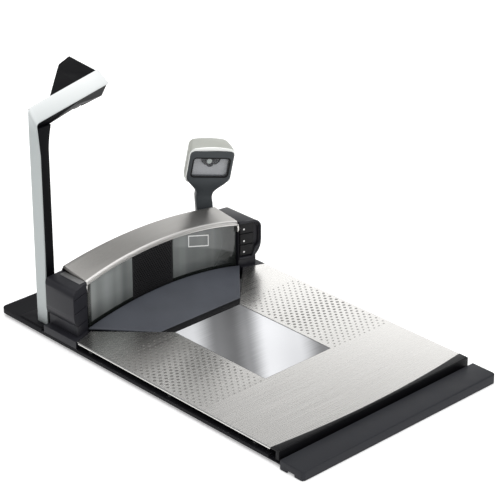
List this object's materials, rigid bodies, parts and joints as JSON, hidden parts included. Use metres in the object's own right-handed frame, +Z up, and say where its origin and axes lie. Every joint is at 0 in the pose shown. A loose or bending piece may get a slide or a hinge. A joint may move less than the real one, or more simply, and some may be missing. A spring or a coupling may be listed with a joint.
{
  "type": "in-counter barcode scanner and scale",
  "caption": "In-counter barcode scanner with weighing platter, upright window bonnet, overhead reader mast and swivelling customer scanner.",
  "frame": {"origin": "centre of the plan outline at the housing's underside", "axes": "+X to the operator's right, +Y from the operator towards the bonnet, +Z up"},
  "size_m": [0.3019, 0.5084, 0.3991],
  "materials": {
    "brushed_deck": "fine brushed, dry",
    "brushed_cover": "brushed, warm grey",
    "housing_metal": "sheet, plain",
    "frame_black": "satin black powder coat",
    "bar_slate": "fine texture, slate top",
    "screw_steel": "zinc plated",
    "cast_aluminium": "die cast",
    "black_rubber": "moulded",
    "inner_black": "matte",
    "dark_glass": "dark tinted",
    "pane_glass": "grey-green, polished",
    "platter_pane": "hardened, polished",
    "mirror_coat": "front silvered",
    "circuit_board": "solder mask",
    "grille_black": "perforated",
    "cap_black": "satin moulded",
    "button_black": "satin keys",
    "pale_strip": "printed film, plain",
    "mast_black": "satin moulded",
    "mast_silver": "silver paint",
    "ramp_slate": "fine matte slate",
    "strip_black": "satin",
    "customer_black": "satin moulded",
    "customer_silver": "warm silver paint"
  },
  "bodies": {
    "base": {"lower_housing": "housing_metal", "counter_frame": "frame_black", "rear_plate": "frame_black", "front_bar": "bar_slate", "level_screws": "screw_steel", "frame_screws": "screw_steel", "weigh_frame": "cast_aluminium", "weigh_pads": "black_rubber", "load_cell": "cast_aluminium", "load_cell_pedestal": "cast_aluminium", "load_cell_screws": "screw_steel", "overload_stops": "screw_steel", "optics_tray": "inner_black", "sealed_window": "platter_pane", "lower_mirrors": "mirror_coat", "lower_imagers": "inner_black", "lower_lamp_boards": "circuit_board", "main_board": "circuit_board", "power_board": "circuit_board", "connector_block": "inner_black", "bonnet_frame": "inner_black", "bonnet_cover": "brushed_cover", "bonnet_rear_cover": "inner_black", "left_window": "pane_glass", "right_window": "pane_glass", "speaker_grille": "grille_black", "speaker": "inner_black", "upper_imagers": "inner_black", "upper_mirrors": "mirror_coat", "upper_lamp_boards": "circuit_board", "left_end_cap": "cap_black", "right_end_cap": "cap_black", "button_board": "circuit_board", "cap_strip": "pale_strip", "mast_column": "mast_black", "mast_trim": "mast_silver", "arm_band": "mast_silver", "reader_housing": "mast_black", "reader_window": "dark_glass", "reader_imager": "inner_black", "reader_lamp_board": "circuit_board", "mast_foot_cover": "frame_black", "mast_screws": "screw_steel", "swivel_base": "inner_black"},
    "platter": {"platter_deck": "brushed_deck", "platter_backing": "inner_black", "platter_glass": "platter_pane", "glass_gasket": "black_rubber", "ramp_panel": "ramp_slate", "ramp_strip": "strip_black", "rail_carrier": "strip_black"},
    "produce_rail": {"produce_rail": "strip_black"},
    "upper_button": {"upper_button": "button_black"},
    "middle_button": {"middle_button": "button_black"},
    "lower_button": {"lower_button": "button_black"},
    "customer_scanner": {"customer_body": "customer_black", "customer_shell": "customer_silver", "customer_window": "dark_glass", "customer_imager": "inner_black"}
  },
  "joints": [
    {"name": "platter_lift", "type": "slide", "parent": "base", "child": "platter", "axis": [0, 0, 1], "range_m": [0, 0.06]},
    {"name": "rail_lift", "type": "slide", "parent": "platter", "child": "produce_rail", "axis": [0, 0, 1], "range_m": [0, 0.009]},
    {"name": "upper_button_press", "type": "slide", "parent": "base", "child": "upper_button", "axis": [0.3363, 0.9417, 0], "range_m": [0, 0.001], "stiffness_N_per_m": 400, "springref_m": -0.0006},
    {"name": "middle_button_press", "type": "slide", "parent": "base", "child": "middle_button", "axis": [0.3363, 0.9417, 0], "range_m": [0, 0.001], "stiffness_N_per_m": 400, "springref_m": -0.0006},
    {"name": "lower_button_press", "type": "slide", "parent": "base", "child": "lower_button", "axis": [0.3363, 0.9417, 0], "range_m": [0, 0.001], "stiffness_N_per_m": 400, "springref_m": -0.0006},
    {"name": "customer_swivel", "type": "hinge", "parent": "base", "child": "customer_scanner", "pos_m": [0.117, 0.18725, 0.12], "axis": [0, 0, 1], "range_deg": [-40, 40]}
  ]
}
